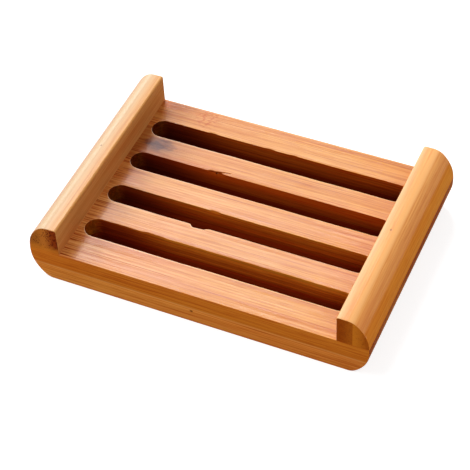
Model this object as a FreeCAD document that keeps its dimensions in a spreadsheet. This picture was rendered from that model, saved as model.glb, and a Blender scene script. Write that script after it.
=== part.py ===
import FreeCAD, Part
import os

import Sketcher

# Bamboo soap dish, 110 x 75 x 22 mm.
# A base board of two glued layers carries a rail glued on top at each end.
# Each layer is laid from strips of bamboo whose grain runs along X. The glue lines of the upper
# layer lie on the centre lines of the drain slots, and those of the lower layer lie half a pitch
# along, under the bars, so that the joints of the two layers are staggered.
# Each rail is two leaves of bamboo glued face to face, with the grain along Y.
# Frame: X along the length, Y from front to back, Z up, origin at the middle of the underside.
# All sizes are in millimetres.

DRIVING_SIZES = {
    "dish_length": 110.0,      # over the two rounded ends
    "dish_width": 75.0,        # front face to back face
    "lower_layer": 6.0,        # thickness of the lower layer of the base
    "upper_layer": 6.0,        # thickness of the upper layer of the base
    "end_band": 2.0,           # upright part of the base's end, just below its top face
    "end_undercut": 5.4,       # how far the rounded end draws in at the underside
    "foot_round": 4.0,         # rounding where that end meets the underside
    "rail_rise": 10.0,         # height of a rail above the base
    "rail_inner_leaf": 5.0,    # thickness of the leaf that faces the soap
    "rail_outer_leaf": 5.2,    # thickness of the leaf with the rounded outer face
    "rail_setback": 5.4,       # how far the rail's outer face draws in at the top
    "rail_crown": 5.0,         # rounding from the outer face to the flat top
    "rail_ease": 0.7,          # rounding of the top edge beside the soap
    "slot_count": 4,           # drain slots side by side
    "slot_width": 7.4,         # also the diameter of a slot's round ends
    "left_land": 1.8,          # flat left between a slot's left end and the left rail
    "right_land": 0.5,         # the same at the right
    "front_bar": 10.6,         # width of the bar in front of the slots
    "back_bar": 9.5,           # width of the bar behind the slots
}

# Sizes that follow from the driving sizes, as expressions on the sheet
HALF_LENGTH = "(Sizes.dish_length / 2)"
HALF_WIDTH = "(Sizes.dish_width / 2)"
BASE_TOP = "(Sizes.lower_layer + Sizes.upper_layer)"
BASE_FOOT = f"({HALF_LENGTH} - Sizes.end_undercut)"
BAND_FOOT = f"({BASE_TOP} - Sizes.end_band)"
RAIL_TOP = f"({BASE_TOP} + Sizes.rail_rise)"
RAIL_JOINT = f"({HALF_LENGTH} - Sizes.rail_outer_leaf)"
RAIL_INSIDE = f"({RAIL_JOINT} - Sizes.rail_inner_leaf)"
RAIL_CREST = f"({HALF_LENGTH} - Sizes.rail_setback)"
SLOT_RADIUS = "(Sizes.slot_width / 2)"
SLOT_LEFT = f"({RAIL_INSIDE} - Sizes.left_land - {SLOT_RADIUS})"
SLOT_RIGHT = f"({RAIL_INSIDE} - Sizes.right_land - {SLOT_RADIUS})"
SLOT_SPREAD = "(Sizes.dish_width - Sizes.front_bar - Sizes.back_bar - Sizes.slot_width)"
SLOT_PITCH = f"({SLOT_SPREAD} / (Sizes.slot_count - 1))"
FRONT_SLOT = f"(Sizes.front_bar + {SLOT_RADIUS} - {HALF_WIDTH})"

# How the sketcher counts an element's points, and what it calls its axes and its origin
START, END, CENTRE = range(1, 4)
X_AXIS, Y_AXIS = range(-1, -3, -1)
ORIGIN = (X_AXIS, START)

SAME_PLACE = 1e-6

doc = FreeCAD.newDocument("soap_dish")


def make_sheet():
    """Put the driving sizes on a sheet, each in a named cell."""
    sheet = doc.addObject("Spreadsheet::Sheet", "Sizes")
    for row, (name, size) in enumerate(DRIVING_SIZES.items(), start=1):
        sheet.set(f"A{row}", name)
        sheet.set(f"B{row}", str(size))
        sheet.setAlias(f"B{row}", name)
    doc.recompute()
    return sheet


sheet = make_sheet()


def value(expression):
    """What an expression on the sheet comes to now."""
    return float(sheet.evalExpression(expression))


def point(x, y):
    """A sketch point given by two expressions."""
    return FreeCAD.Vector(value(x), value(y), 0)


# Sketches
def new_sketch(body, name, plane):
    """An empty sketch on one of the body's own origin planes."""
    sketch = body.newObject("Sketcher::SketchObject", name)
    support = next(item for item in body.Origin.OriginFeatures if item.Role == plane)
    sketch.AttachmentSupport = [(support, "")]
    sketch.MapMode = "FlatFace"
    return sketch


def relate(sketch, kind, *places):
    """Add a geometric constraint."""
    sketch.addConstraint(Sketcher.Constraint(kind, *places))


def dimension(sketch, kind, *places, size):
    """Add a dimension that follows an expression on the sheet."""
    index = sketch.addConstraint(Sketcher.Constraint(kind, *places, value(size)))
    sketch.setExpression(f"Constraints[{index}]", size)


def draw_line(sketch, start, end):
    """Draw a line and give its number."""
    return sketch.addGeometry(Part.LineSegment(start, end))


def draw_bow(sketch, start, end, upright):
    """Draw an arc that stands upright at one of its ends, and give its number."""
    drawn_in = end if upright is start else start
    reach = upright.x - drawn_in.x
    radius = (reach ** 2 + (drawn_in.y - upright.y) ** 2) / (2 * reach)
    centre = FreeCAD.Vector(upright.x - radius, upright.y, 0)
    middle = centre + ((start + end) / 2 - centre).normalize() * abs(radius)
    return sketch.addGeometry(Part.ArcOfCircle(start, middle, end))


def close_outline(sketch, elements, smooth=()):
    """Join each element's end to the next one's start, tangent at the pairs called smooth."""
    for element, following in zip(elements, elements[1:] + elements[:1]):
        kind = "Tangent" if (element, following) in smooth else "Coincident"
        relate(sketch, kind, element, END, following, START)


def board_outline(body, name):
    """Side outline of the whole base board: a flat box with rounded, drawn-in ends."""
    sketch = new_sketch(body, name, "XZ_Plane")
    foot_left = point(f"-{BASE_FOOT}", "0")
    foot_right = point(BASE_FOOT, "0")
    band_right = point(HALF_LENGTH, BAND_FOOT)
    top_right = point(HALF_LENGTH, BASE_TOP)
    top_left = point(f"-{HALF_LENGTH}", BASE_TOP)
    band_left = point(f"-{HALF_LENGTH}", BAND_FOOT)
    underside = draw_line(sketch, foot_left, foot_right)
    right_bow = draw_bow(sketch, foot_right, band_right, upright=band_right)
    right_band = draw_line(sketch, band_right, top_right)
    top = draw_line(sketch, top_right, top_left)
    left_band = draw_line(sketch, top_left, band_left)
    left_bow = draw_bow(sketch, band_left, foot_left, upright=band_left)
    outline = [underside, right_bow, right_band, top, left_band, left_bow]
    close_outline(sketch, outline, smooth=[(right_bow, right_band), (left_band, left_bow)])
    relate(sketch, "PointOnObject", underside, START, X_AXIS)
    relate(sketch, "Symmetric", underside, START, underside, END, Y_AXIS)
    relate(sketch, "Symmetric", top, START, top, END, Y_AXIS)
    relate(sketch, "Vertical", right_band)
    relate(sketch, "Vertical", left_band)
    relate(sketch, "Equal", right_band, left_band)
    dimension(sketch, "DistanceX", *ORIGIN, underside, END, size=BASE_FOOT)
    dimension(sketch, "DistanceX", *ORIGIN, top, START, size=HALF_LENGTH)
    dimension(sketch, "DistanceY", *ORIGIN, top, START, size=BASE_TOP)
    dimension(sketch, "DistanceY", right_band, START, right_band, END, size="Sizes.end_band")
    return sketch


def rail_outline(body, name):
    """Side outline of the right rail: flat where it is glued and inside, bowed outside."""
    sketch = new_sketch(body, name, "XZ_Plane")
    inner_foot = point(RAIL_INSIDE, BASE_TOP)
    outer_foot = point(HALF_LENGTH, BASE_TOP)
    crest = point(RAIL_CREST, RAIL_TOP)
    inner_top = point(RAIL_INSIDE, RAIL_TOP)
    glued = draw_line(sketch, inner_foot, outer_foot)
    bow = draw_bow(sketch, outer_foot, crest, upright=outer_foot)
    top = draw_line(sketch, crest, inner_top)
    inside = draw_line(sketch, inner_top, inner_foot)
    close_outline(sketch, [glued, bow, top, inside])
    relate(sketch, "Horizontal", glued)
    relate(sketch, "Horizontal", top)
    relate(sketch, "Vertical", inside)
    relate(sketch, "Horizontal", bow, START, bow, CENTRE)
    dimension(sketch, "DistanceX", *ORIGIN, glued, START, size=RAIL_INSIDE)
    dimension(sketch, "DistanceX", *ORIGIN, glued, END, size=HALF_LENGTH)
    dimension(sketch, "DistanceX", *ORIGIN, bow, END, size=RAIL_CREST)
    dimension(sketch, "DistanceY", *ORIGIN, glued, START, size=BASE_TOP)
    dimension(sketch, "DistanceY", *ORIGIN, top, START, size=RAIL_TOP)
    return sketch


def slot_outline(body, name):
    """Plan of the front slot: two straight sides between round ends."""
    sketch = new_sketch(body, name, "XY_Plane")
    front_left = point(f"-{SLOT_LEFT}", f"-{SLOT_RADIUS}")
    front_right = point(SLOT_RIGHT, f"-{SLOT_RADIUS}")
    right_tip = point(f"{SLOT_RIGHT} + {SLOT_RADIUS}", "0")
    back_right = point(SLOT_RIGHT, SLOT_RADIUS)
    back_left = point(f"-{SLOT_LEFT}", SLOT_RADIUS)
    left_tip = point(f"-{SLOT_LEFT} - {SLOT_RADIUS}", "0")
    front_side = draw_line(sketch, front_left, front_right)
    right_end = sketch.addGeometry(Part.ArcOfCircle(front_right, right_tip, back_right))
    back_side = draw_line(sketch, back_right, back_left)
    left_end = sketch.addGeometry(Part.ArcOfCircle(back_left, left_tip, front_left))
    outline = [front_side, right_end, back_side, left_end]
    close_outline(sketch, outline, smooth=list(zip(outline, outline[1:] + outline[:1])))
    relate(sketch, "Horizontal", front_side)
    relate(sketch, "PointOnObject", right_end, CENTRE, X_AXIS)
    relate(sketch, "PointOnObject", left_end, CENTRE, X_AXIS)
    dimension(sketch, "DistanceX", *ORIGIN, right_end, CENTRE, size=SLOT_RIGHT)
    dimension(sketch, "DistanceX", left_end, CENTRE, *ORIGIN, size=SLOT_LEFT)
    dimension(sketch, "Radius", right_end, size=SLOT_RADIUS)
    sketch.setExpression("AttachmentOffset.Base.y", slot_line(0))
    return sketch


def slab_outline(body, name, x_from, x_to, z_from, z_to):
    """A rectangle seen from the front, between four expressions."""
    sketch = new_sketch(body, name, "XZ_Plane")
    corners = [point(x_from, z_from), point(x_to, z_from), point(x_to, z_to), point(x_from, z_to)]
    sides = [draw_line(sketch, start, end) for start, end in zip(corners, corners[1:] + corners[:1])]
    close_outline(sketch, sides)
    low, right, high, left = sides
    for side in (low, high):
        relate(sketch, "Horizontal", side)
    for side in (right, left):
        relate(sketch, "Vertical", side)
    dimension(sketch, "DistanceX", *ORIGIN, low, START, size=x_from)
    dimension(sketch, "DistanceY", *ORIGIN, low, START, size=z_from)
    dimension(sketch, "DistanceX", *ORIGIN, high, START, size=x_to)
    dimension(sketch, "DistanceY", *ORIGIN, high, START, size=z_to)
    return sketch


# Features
def new_body(name):
    """A body whose label names the piece."""
    body = doc.addObject("PartDesign::Body", name)
    body.Label = name
    return body


def pad(body, sketch, length, side):
    """Extrude a sketch along its normal, or to both sides of its plane."""
    feature = body.newObject("PartDesign::Pad", f"{sketch.Name}_pad")
    feature.Profile = sketch
    feature.SideType = side
    feature.setExpression("Length", length)
    doc.recompute()


def cut_through(body, sketch):
    """Cut a sketch right through the body, to both sides of its plane."""
    feature = body.newObject("PartDesign::Pocket", f"{sketch.Name}_cut")
    feature.Profile = sketch
    feature.Type = "ThroughAll"
    feature.SideType = "Symmetric"
    doc.recompute()
    return feature


def round_edges(body, name, radius, *places):
    """Round the edges along Y at the given places, each an x and a z expression."""
    solid = body.Tip
    edges = []
    for place in places:
        x, z = (value(expression) for expression in place)
        for number, edge in enumerate(solid.Shape.Edges, start=1):
            ends = [vertex.Point for vertex in edge.Vertexes]
            if all(abs(end.x - x) < SAME_PLACE and abs(end.z - z) < SAME_PLACE for end in ends):
                edges.append(f"Edge{number}")
    feature = body.newObject("PartDesign::Fillet", name)
    feature.Base = (solid, edges)
    feature.setExpression("Radius", radius)
    doc.recompute()


def cut_slots(body):
    """Cut the row of drain slots. Those that miss the body leave it as it is."""
    sketch = slot_outline(body, f"{body.Label}_slot")
    front_slot = cut_through(body, sketch)
    row = body.newObject("PartDesign::LinearPattern", f"{body.Label}_slot_row")
    row.Originals = [front_slot]
    row.Direction = (sketch, ["V_Axis"])
    row.setExpression("Length", SLOT_SPREAD)
    row.setExpression("Occurrences", "Sizes.slot_count")
    body.Tip = row
    doc.recompute()


# Lines that run along X, counted from the front
def slot_line(index):
    """Centre line of a drain slot."""
    return f"({FRONT_SLOT} + {index} * {SLOT_PITCH})"


def bar_line(index):
    """Centre line of the bar between a slot and the next one."""
    return f"({FRONT_SLOT} + ({index} + 1 / 2) * {SLOT_PITCH})"


# The pieces
def base_strip(name, front, back, waste_from, waste_to):
    """One strip of the base, with the other layer cut away between two heights."""
    body = new_body(name)
    outline = board_outline(body, f"{name}_outline")
    outline.setExpression("AttachmentOffset.Base.z", f"-{back}")
    pad(body, outline, f"{back} - {front}", "One side")
    round_edges(body, f"{name}_foot", "Sizes.foot_round", (BASE_FOOT, "0"), (f"-{BASE_FOOT}", "0"))
    waste = slab_outline(body, f"{name}_waste", "-Sizes.dish_length", "Sizes.dish_length",
                         waste_from, waste_to)
    cut_through(body, waste)
    cut_slots(body)
    return body


def strip_layer(name, glue_lines, waste_from, waste_to):
    """One layer of the base: strips from the front face to the back, between the glue lines."""
    edges = [f"(-{HALF_WIDTH})", *glue_lines, HALF_WIDTH]
    return [base_strip(f"{name}_{number}", front, back, waste_from, waste_to)
            for number, (front, back) in enumerate(zip(edges, edges[1:]), start=1)]


def rail_leaf(name, waste_from, waste_to, turn):
    """One leaf of a rail, with the other leaf cut away, turned about Z to its end of the dish."""
    body = new_body(name)
    outline = rail_outline(body, f"{name}_outline")
    pad(body, outline, "Sizes.dish_width", "Symmetric")
    round_edges(body, f"{name}_crown", "Sizes.rail_crown", (RAIL_CREST, RAIL_TOP))
    round_edges(body, f"{name}_ease", "Sizes.rail_ease", (RAIL_INSIDE, RAIL_TOP))
    waste = slab_outline(body, f"{name}_waste", waste_from, waste_to,
                         f"{BASE_TOP} / 2", f"{RAIL_TOP} * 2")
    cut_through(body, waste)
    body.Placement = FreeCAD.Placement(FreeCAD.Vector(), FreeCAD.Rotation(FreeCAD.Vector(0, 0, 1), turn))
    return body


def build_pieces():
    """Every piece of the dish."""
    slots = range(DRIVING_SIZES["slot_count"])
    pieces = strip_layer("upper_strip", [slot_line(index) for index in slots],
                         "-Sizes.lower_layer", "Sizes.lower_layer")
    pieces += strip_layer("lower_strip", [bar_line(index) for index in slots[:-1]],
                          "Sizes.lower_layer", f"{BASE_TOP} * 2")
    for rail, turn in (("right_rail", 0), ("left_rail", 180)):
        pieces.append(rail_leaf(f"{rail}_inner_leaf", RAIL_JOINT, "Sizes.dish_length", turn))
        pieces.append(rail_leaf(f"{rail}_outer_leaf", f"{RAIL_INSIDE} / 2", RAIL_JOINT, turn))
    return pieces


def check_document(pieces):
    """Stop unless every object is sound, every sketch is fixed and every piece is one valid solid."""
    for item in doc.Objects:
        if "Invalid" in item.State or "Error" in item.State:
            raise RuntimeError(f"{item.Label} failed: {item.State}")
        if item.TypeId == "Sketcher::SketchObject" and not item.FullyConstrained:
            raise RuntimeError(f"{item.Label} is not fully constrained")
    for piece in pieces:
        if piece.Shape.isNull() or not piece.Shape.isValid() or len(piece.Shape.Solids) != 1:
            raise RuntimeError(f"{piece.Label} is not one valid solid")


def write_pieces(pieces):
    """Write each piece to a file of its own."""
    os.makedirs("parts", exist_ok=True)
    for piece in pieces:
        piece.Shape.exportStep(f"parts/{piece.Label}.step")
        print(f"{piece.Label}: {piece.Shape.Volume / 1000:.2f} cm3")


soap_dish = build_pieces()
doc.recompute()
check_document(soap_dish)
write_pieces(soap_dish)
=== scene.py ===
# %% [markdown]
# # A bamboo soap dish
# The dish is a slatted board with a rail across each end, all glued up from strips of bamboo.
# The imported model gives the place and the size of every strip. Here each strip is modelled again
# with the marks that a workshop leaves on it: planed bows, routed slots, eased edges, torn fibres.

# %% Load the frame
import math
from collections import namedtuple

import bpy
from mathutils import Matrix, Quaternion, Vector, noise


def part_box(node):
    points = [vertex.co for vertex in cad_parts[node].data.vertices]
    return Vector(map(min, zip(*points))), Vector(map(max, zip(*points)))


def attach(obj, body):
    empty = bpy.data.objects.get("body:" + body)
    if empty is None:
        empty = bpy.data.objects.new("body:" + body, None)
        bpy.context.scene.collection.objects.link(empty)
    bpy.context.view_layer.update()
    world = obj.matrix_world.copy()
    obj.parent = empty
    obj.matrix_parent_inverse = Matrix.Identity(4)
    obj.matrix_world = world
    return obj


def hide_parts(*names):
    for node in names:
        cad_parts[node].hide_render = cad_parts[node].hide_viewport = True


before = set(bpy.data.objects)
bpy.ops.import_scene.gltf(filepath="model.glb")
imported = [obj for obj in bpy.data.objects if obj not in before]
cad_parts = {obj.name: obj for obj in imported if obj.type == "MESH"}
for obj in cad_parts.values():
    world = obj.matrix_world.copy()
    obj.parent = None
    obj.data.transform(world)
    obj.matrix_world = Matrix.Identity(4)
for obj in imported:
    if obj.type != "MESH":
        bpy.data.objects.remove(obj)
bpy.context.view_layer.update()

MM = 0.001
print("Pieces in the frame:", ", ".join(sorted(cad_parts)))

# %% [markdown]
# ## The camera
# The photograph was taken from the front right with a long lens, looking down on the dish. A camera
# can be placed by eye, but a few corners of known size are enough to work its place out, and then
# every later difference is one of shape or finish. The view is kept as an angle round the dish, an
# angle above it, a small tilt of the frame and a distance from the point in its middle.

# %% Place the camera
VIEW_AROUND = math.radians(26.233)
VIEW_ABOVE = math.radians(46.851)
VIEW_TILT = math.radians(-3.408)
VIEW_DISTANCE = 488.57 * MM
VIEW_AIM = Vector((1.0, -9.55, 10.99)) * MM
LENS = 122.78
SENSOR_WIDTH = 36

towards_camera = Vector((
    math.sin(VIEW_AROUND) * math.cos(VIEW_ABOVE),
    -math.cos(VIEW_AROUND) * math.cos(VIEW_ABOVE),
    math.sin(VIEW_ABOVE),
))
bpy.ops.object.camera_add(location=VIEW_AIM + towards_camera * VIEW_DISTANCE)
camera = bpy.context.object
camera.name = "photo_camera"
level_view = towards_camera.to_track_quat("Z", "Y")
camera.rotation_euler = (level_view @ Quaternion((0, 0, 1), VIEW_TILT)).to_euler()
camera.data.lens = LENS
camera.data.sensor_width = SENSOR_WIDTH
bpy.context.scene.camera = camera
print(f"Camera {VIEW_DISTANCE:.3f} m from the dish, lens {LENS:.0f} mm")

# %% [markdown]
# ## The pieces' sizes
# Most sizes can be read from the frame: the glue lines of the upper layer are the centre lines of
# the slots, and the rails' boxes give the joint between their two leaves. Only the slots' width and
# ends, the bows and the roundings are in no box, so they are written down here, as in the drawing.

# %% Measure the frame
UPPER_STRIPS = [f"upper_strip_{number}" for number in range(1, 6)]
LOWER_STRIPS = [f"lower_strip_{number}" for number in range(1, 5)]

front_low, front_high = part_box(UPPER_STRIPS[0])
back_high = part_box(UPPER_STRIPS[-1])[1]
rail_low, rail_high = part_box("right_rail_inner_leaf")
HALF_LENGTH = front_high.x
HALF_WIDTH = back_high.y
LAYER_JOINT = front_low.z
BASE_TOP = front_high.z
RAIL_INSIDE = rail_low.x
RAIL_JOINT = rail_high.x
RAIL_TOP = rail_high.z
SLOT_LINES = [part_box(strip)[1].y for strip in UPPER_STRIPS[:-1]]

SLOT_WIDTH = 7.4 * MM
LEFT_LAND = 1.8 * MM
RIGHT_LAND = 0.5 * MM
END_BAND = 2.0 * MM
END_DRAW_IN = 5.4 * MM
FOOT_ROUND = 4.0 * MM
CROWN_ROUND = 5.0 * MM
RAIL_EASE = 0.7 * MM
SLOT_LEFT = LEFT_LAND - RAIL_INSIDE
SLOT_RIGHT = RAIL_INSIDE - RIGHT_LAND
print("Slot lines in mm:", [round(line / MM, 2) for line in SLOT_LINES])

# %% [markdown]
# ## Planing a bow
# The ends of the board and the outsides of the rails are bowed. On the real dish a shaped cutter
# runs along them. Here a block is planed as a joiner would do it with a hand plane: one thin flat
# after another, each a bisect that throws away what lies outside it. Four degrees between flats
# is fine enough for smooth shading to hide them, and all flats stay outside the true curve by a
# few thousandths of a millimetre only.

# %% Add a block and saw it
SAW_TOUCH = 0.0005 * MM


def edit_only(piece):
    """Make a piece the only one selected and open it in edit mode."""
    bpy.ops.object.select_all(action="DESELECT")
    bpy.context.view_layer.objects.active = piece
    piece.select_set(True)
    bpy.ops.object.mode_set(mode="EDIT")


def new_block(name, low, high):
    """A block between two corners."""
    bpy.ops.object.select_all(action="DESELECT")
    low, high = Vector(low), Vector(high)
    bpy.ops.mesh.primitive_cube_add(size=1, location=(low + high) / 2, scale=high - low)
    bpy.ops.object.transform_apply(location=True, rotation=True, scale=True)
    block = bpy.context.object
    block.name = name
    return block


def stands_out(piece, point, normal):
    """Whether any of a piece lies outside a plane."""
    return any((corner.co - point).dot(normal) > SAW_TOUCH for corner in piece.data.vertices)


def saw_off(piece, *cuts):
    """Cut a piece along planes, each a point and a normal, and drop what lies outside them."""
    for point, normal in cuts:
        if stands_out(piece, point, Vector(normal)):
            edit_only(piece)
            bpy.ops.mesh.select_all(action="SELECT")
            bpy.ops.mesh.bisect(plane_co=point, plane_no=normal, use_fill=True, clear_outer=True,
                                threshold=SAW_TOUCH)
            bpy.ops.mesh.select_all(action="SELECT")
            bpy.ops.mesh.normals_make_consistent(inside=False)
            bpy.ops.object.mode_set(mode="OBJECT")


# %% Work out the flats of a bow
PLANE_STEP = math.radians(4)


def flats(centre, radius, start, stop, side):
    """Planes that touch a round at the right or the left end, from one angle to another."""
    steps = max(1, round(abs(stop - start) / PLANE_STEP))
    planes = []
    for step in range(steps + 1):
        angle = start + (stop - start) * step / steps
        normal = Vector((side * math.cos(angle), 0, math.sin(angle)))
        middle = Vector((side * centre.x, 0, centre.z))
        planes.append((middle + normal * radius, normal))
    return planes


def bow_radius(draw_in, rise):
    """Radius of a bow that starts upright and has drawn in by so much after so much rise."""
    return (draw_in ** 2 + rise ** 2) / (2 * draw_in)


def bow_flats(foot, rise, draw_in, rounding, side):
    """Flats of a bow above or below its upright foot, and of the rounding that ends it."""
    radius = bow_radius(draw_in, abs(rise))
    up = math.copysign(1, rise)
    centre = Vector((foot.x - radius, 0, foot.z))
    across = abs(rise) - rounding
    along = math.sqrt((radius - rounding) ** 2 - across ** 2)
    meeting = math.atan2(across, along)
    end_centre = Vector((centre.x + along, 0, foot.z + up * across))
    bow = flats(centre, radius, 0, up * meeting, side)
    return bow + flats(end_centre, rounding, up * meeting, up * math.pi / 2, side)


# %% [markdown]
# ## The board
# The board was glued up from strips and then shaped in one go, so its bows run smoothly through
# every joint. That order is kept: one blank for the whole board gets its bowed ends, and each strip
# is sawn from a copy of it.

# %% Shape the board blank and saw the strips from it
board = new_block("board_blank", (-HALF_LENGTH, -HALF_WIDTH, 0), (HALF_LENGTH, HALF_WIDTH, BASE_TOP))
for side in (1, -1):
    foot = Vector((HALF_LENGTH, 0, BASE_TOP - END_BAND))
    saw_off(board, *bow_flats(foot, -foot.z, END_DRAW_IN, FOOT_ROUND, side))


def copy_of(piece, name):
    """A copy with its own mesh."""
    bpy.ops.object.select_all(action="DESELECT")
    bpy.context.view_layer.objects.active = piece
    piece.select_set(True)
    bpy.ops.object.duplicate(linked=False)
    copy = bpy.context.object
    copy.name = name
    copy.data.name = name
    return copy


strips = {}
for node in UPPER_STRIPS + LOWER_STRIPS:
    low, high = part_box(node)
    strip = copy_of(board, f"{node}_bamboo")
    saw_off(strip, (low, (0, -1, 0)), (high, (0, 1, 0)), (low, (0, 0, -1)), (high, (0, 0, 1)))
    strips[node] = strip
bpy.data.objects.remove(board)
print(f"{len(strips)} strips sawn from the board")

# %% [markdown]
# ## The slots
# A router with a 7.4 mm bit cut the slots through the finished board, and it shows: the sides wander
# by up to a tenth of a millimetre, and here and there the bit lifted a bundle of fibres and left
# a torn place along the edge. So the cutter that the strips are cut with is not a plain prism. It is
# a block with its upright edges rounded over, divided finely along its sides, and then pushed in and
# out by a little noise, and further out where the fibres tore, but only near the top.

# %% List the torn places
TearOut = namedtuple("TearOut", "slot side start stop depth")
FRONT_SLOT, SECOND_SLOT, THIRD_SLOT, BACK_SLOT = range(4)
NEAR, FAR = -1, 1
TEAR_OUTS = [
    TearOut(SECOND_SLOT, NEAR, -13.2 * MM, -7.4 * MM, 1.5 * MM),
    TearOut(SECOND_SLOT, FAR, -9.8 * MM, -6.5 * MM, 0.4 * MM),
    TearOut(THIRD_SLOT, FAR, -17.9 * MM, -12.2 * MM, 0.75 * MM),
    TearOut(BACK_SLOT, FAR, -24.8 * MM, -21.5 * MM, 0.4 * MM),
    TearOut(BACK_SLOT, FAR, -4.8 * MM, -1.5 * MM, 0.4 * MM),
    TearOut(BACK_SLOT, FAR, 4.0 * MM, 6.5 * MM, 0.3 * MM),
    TearOut(FRONT_SLOT, FAR, -25.5 * MM, -17.5 * MM, 0.45 * MM),
]
TEAR_REACH = 1.6 * MM
TEAR_STEEPNESS = 6
TEAR_TAPER = 0.4
TEAR_MEAN, TEAR_RAGGED, TEAR_GRIT = 0.85, 0.45, 0.9 * MM


def tear(slot, side, x, z):
    """How far the torn fibres widen a slot at this place."""
    widest = 0
    for spot in TEAR_OUTS:
        if (spot.slot, spot.side) == (slot, side) and spot.start < x < spot.stop:
            along = (x - spot.start) / (spot.stop - spot.start)
            steep = min(1, along * TEAR_STEEPNESS, (1 - along) * TEAR_STEEPNESS)
            shape = steep * (1 - TEAR_TAPER * along)
            ragged = TEAR_MEAN + TEAR_RAGGED * noise.noise((x / TEAR_GRIT, slot, side))
            widest = max(widest, spot.depth * shape * ragged)
    fading = max(0, 1 - (BASE_TOP - z) / TEAR_REACH)
    return widest * min(1, fading)


print(len(TEAR_OUTS), "torn places along the slots")

# %% Make the slot cutters
SLOW_WANDER, SLOW_LENGTH, SLOW_LAYER = 0.09, 11 * MM, 0.3
QUICK_WANDER, QUICK_LENGTH, QUICK_HEIGHT = 0.035, 1.6 * MM, 3 * MM
NOISE_ROWS = 5
WANDER_START = 4 * MM
CUT_SPARE = 1.0 * MM
CUTTER_TOUCH = 0.01 * MM
ROUND_STEPS = 20
SIDE_CUTS = 170
CUT_LEVELS = [BASE_TOP - drop * MM for drop in (0.0, 0.35, 0.8, 1.6)] + [LAYER_JOINT]


def wander(slot, side, x, z):
    """How far the bit strayed outwards at this place."""
    row = NOISE_ROWS * slot + side
    slow = noise.noise((x / SLOW_LENGTH, row, SLOW_LAYER))
    quick = noise.noise((x / QUICK_LENGTH, row, z / QUICK_HEIGHT))
    return (SLOW_WANDER * slow + QUICK_WANDER * quick) * MM


def select_edges(piece, wanted):
    """Select in edit mode just the edges that a test on their two ends picks out."""
    bpy.ops.mesh.select_mode(type="EDGE")
    bpy.ops.mesh.select_all(action="DESELECT")
    bpy.ops.object.mode_set(mode="OBJECT")
    points = piece.data.vertices
    for edge in piece.data.edges:
        edge.select = wanted(*(points[index].co for index in edge.vertices))
    bpy.ops.object.mode_set(mode="EDIT")


def is_upright(start, end):
    """Whether an edge stands upright, as the corners of a block do."""
    return abs(start.x - end.x) < CUTTER_TOUCH and abs(start.y - end.y) < CUTTER_TOUCH


def is_long(start, end):
    """Whether an edge runs along the straight side of a slot."""
    return abs(start.x - end.x) > SLOT_RIGHT


def slot_cutter(slot, line):
    """A block the shape of one slot."""
    low = (SLOT_LEFT, line - SLOT_WIDTH / 2, -CUT_SPARE)
    high = (SLOT_RIGHT, line + SLOT_WIDTH / 2, BASE_TOP + CUT_SPARE)
    cutter = new_block(f"slot_cutter_{slot}", low, high)
    edit_only(cutter)
    select_edges(cutter, is_upright)
    bpy.ops.mesh.bevel(offset=SLOT_WIDTH / 2, segments=ROUND_STEPS, affect="EDGES", clamp_overlap=True)
    bpy.ops.mesh.select_all(action="SELECT")
    bpy.ops.mesh.remove_doubles(threshold=CUTTER_TOUCH)
    select_edges(cutter, is_long)
    bpy.ops.mesh.subdivide(number_cuts=SIDE_CUTS)
    for level in CUT_LEVELS:
        bpy.ops.mesh.select_all(action="SELECT")
        bpy.ops.mesh.bisect(plane_co=(0, 0, level), plane_no=(0, 0, 1), threshold=SAW_TOUCH)
    bpy.ops.object.mode_set(mode="OBJECT")
    for point in cutter.data.vertices:
        x, y, z = point.co
        to_round_end = min(x - SLOT_LEFT, SLOT_RIGHT - x) - SLOT_WIDTH / 2
        if to_round_end > 0:
            side = FAR if y > line else NEAR
            push = wander(slot, side, x, z) * min(1, to_round_end / WANDER_START)
            point.co.y += side * (push + tear(slot, side, x, z))
    return cutter


cutters = [slot_cutter(slot, line) for slot, line in enumerate(SLOT_LINES)]
print("Cutter faces:", [len(cutter.data.polygons) for cutter in cutters])

# %% Cut the slots


def cut_with(piece, cutter):
    """Take the shape of a cutter out of a piece."""
    bpy.ops.object.select_all(action="DESELECT")
    bpy.context.view_layer.objects.active = piece
    piece.select_set(True)
    modifier = piece.modifiers.new("slot", "BOOLEAN")
    modifier.operation = "DIFFERENCE"
    modifier.solver = "EXACT"
    modifier.object = cutter
    bpy.ops.object.modifier_apply(modifier=modifier.name)


for node, strip in strips.items():
    low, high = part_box(node)
    for cutter, line in zip(cutters, SLOT_LINES):
        if low.y - SLOT_WIDTH / 2 < line < high.y + SLOT_WIDTH / 2:
            cut_with(strip, cutter)
    print(node, len(strip.data.polygons), "faces after the slots")
for cutter in cutters:
    bpy.data.objects.remove(cutter)

# %% [markdown]
# ## A crack
# Behind the third slot the lifted fibres left a fine crack, which runs on from the torn place at a
# slight angle to the grain. It is a thin blade, sheared a little and half as thick at its far end,
# that is taken out of the top of the strip.

# %% Split the torn edge
CRACK_START = Vector((-15.0, 12.45, 11.3)) * MM
CRACK_STOP = Vector((-10.3, 13.3, 13.0)) * MM
CRACK_WIDTH = 0.32 * MM

blade_high = (CRACK_STOP.x, CRACK_START.y + CRACK_WIDTH, CRACK_STOP.z)
blade = new_block("crack_blade", CRACK_START, blade_high)
halfway = (CRACK_START.x + CRACK_STOP.x) / 2
for point in blade.data.vertices:
    if point.co.x > halfway:
        middle = CRACK_START.y + CRACK_WIDTH / 2
        point.co.y = CRACK_STOP.y + (point.co.y - middle) / 2
cut_with(strips["upper_strip_4"], blade)
bpy.data.objects.remove(blade)
print("Crack of", round((CRACK_STOP.x - CRACK_START.x) / MM, 1), "mm")

# %% [markdown]
# ## The rails
# Each rail is two leaves glued face to face and shaped together, so the bow runs on from the outer
# leaf over the crown to the inner one. One blank is planed for each end, and both leaves are sawn
# from copies of it.

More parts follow.
